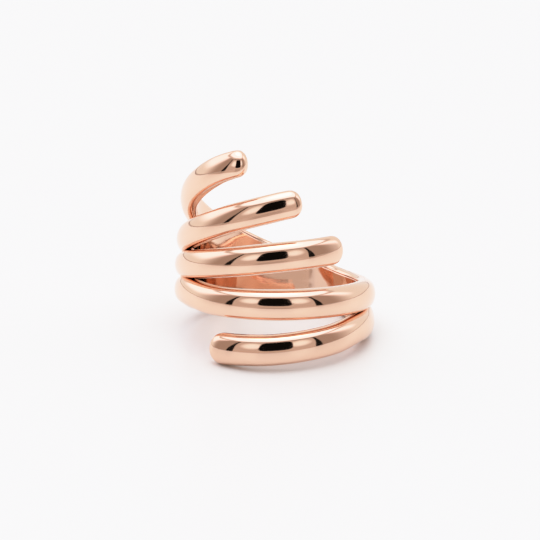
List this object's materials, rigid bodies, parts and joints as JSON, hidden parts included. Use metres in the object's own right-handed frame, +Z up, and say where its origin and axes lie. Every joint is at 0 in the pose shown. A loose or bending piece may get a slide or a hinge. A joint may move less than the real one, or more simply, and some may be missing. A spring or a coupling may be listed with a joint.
{
  "type": "finger ring",
  "caption": "Wide band ring: polished half-round wire coiled round the finger, fanning out to the left into rounded free ends that climb along the finger.",
  "frame": {"origin": "middle of the bounding box at the height of the surface the ring rests on", "axes": "+Z up, the ring's front with its free ends faces -Y, and +X is to the right seen from the front. The finger axis leans back towards +Y by 13.2 degrees, as the ring lies on its lower edge."},
  "size_m": [0.021, 0.022, 0.0215],
  "materials": {
    "polished_metal": "polished rose gold"
  },
  "bodies": {
    "root": {"band_ring": "polished_metal"}
  },
  "joints": []
}
